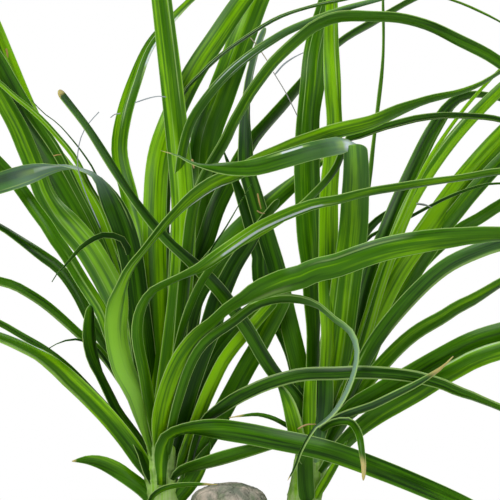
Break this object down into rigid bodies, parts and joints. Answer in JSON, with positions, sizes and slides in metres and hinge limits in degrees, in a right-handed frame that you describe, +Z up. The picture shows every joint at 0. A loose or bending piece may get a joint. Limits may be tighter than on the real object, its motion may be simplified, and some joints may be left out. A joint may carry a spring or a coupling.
{
  "type": "potted ponytail palm",
  "caption": "Ponytail palm with long arching strap leaves on side shoots of a topped woody trunk with a swollen foot, in a terracotta pot of soil.",
  "frame": {"origin": "centre of the pot's flat underside", "axes": "+Z up along the pot's axis, front towards -Y, the two shoots to -X and +X"},
  "size_m": [0.6932, 0.8127, 0.9171],
  "materials": {
    "terracotta": "matte",
    "soil": "matte",
    "bark": "matte",
    "leaf": "satin"
  },
  "bodies": {
    "root": {"pot": "terracotta", "soil": "soil", "trunk": "bark", "shoot_left": "leaf", "shoot_right": "leaf"}
  },
  "joints": []
}
